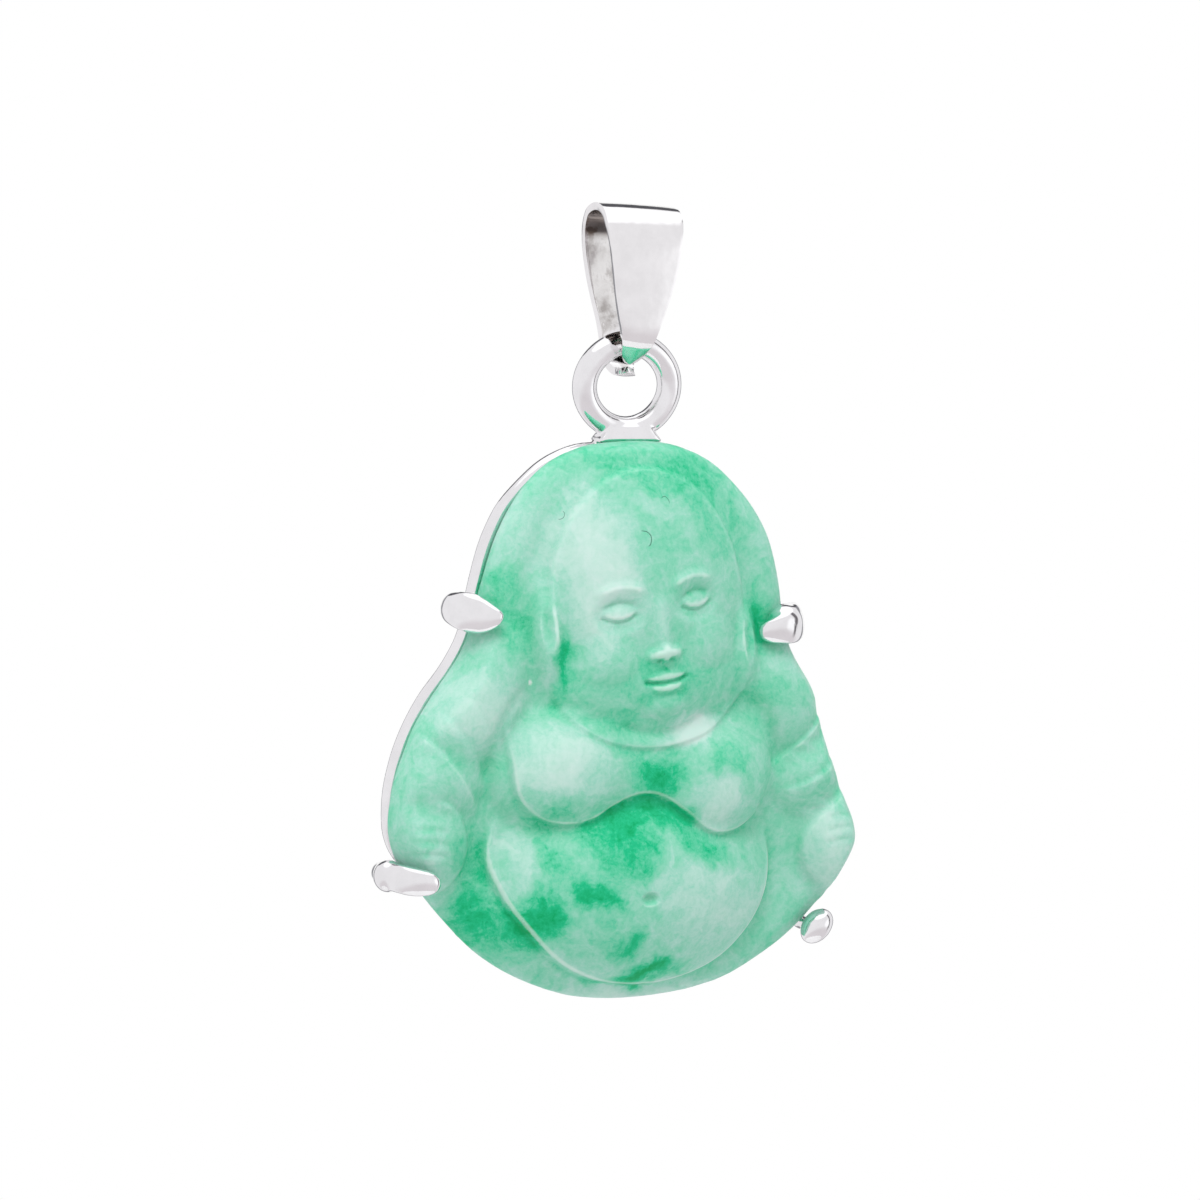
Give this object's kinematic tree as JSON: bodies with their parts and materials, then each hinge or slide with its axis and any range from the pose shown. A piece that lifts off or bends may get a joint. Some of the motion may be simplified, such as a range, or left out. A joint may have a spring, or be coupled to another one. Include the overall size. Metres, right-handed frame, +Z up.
{
  "type": "jade buddha pendant",
  "caption": "Carved jade cabochon of a seated laughing buddha, held by claws on a wire frame with a ring, hanging from a folded tapering strap bail.",
  "frame": {"origin": "top inside of the bail's channel, where a chain lies", "axes": "+Z up along the hanging length, +Y behind the figure, +X to the right of someone facing the figure"},
  "size_m": [0.0263, 0.0068, 0.04],
  "materials": {
    "bail_metal": "polished white metal",
    "setting_metal": "polished white metal",
    "jade": "polished mottled green and white jade, slightly translucent"
  },
  "bodies": {
    "bail": {"bail": "bail_metal"},
    "pendant": {"setting": "setting_metal", "jade_figure": "jade"}
  },
  "joints": [
    {"name": "pendant_swing", "type": "hinge", "parent": "bail", "child": "pendant", "pos_m": [0, 0, -0.00655], "axis": [1, 0, 0], "range_deg": [-90, 90]}
  ]
}
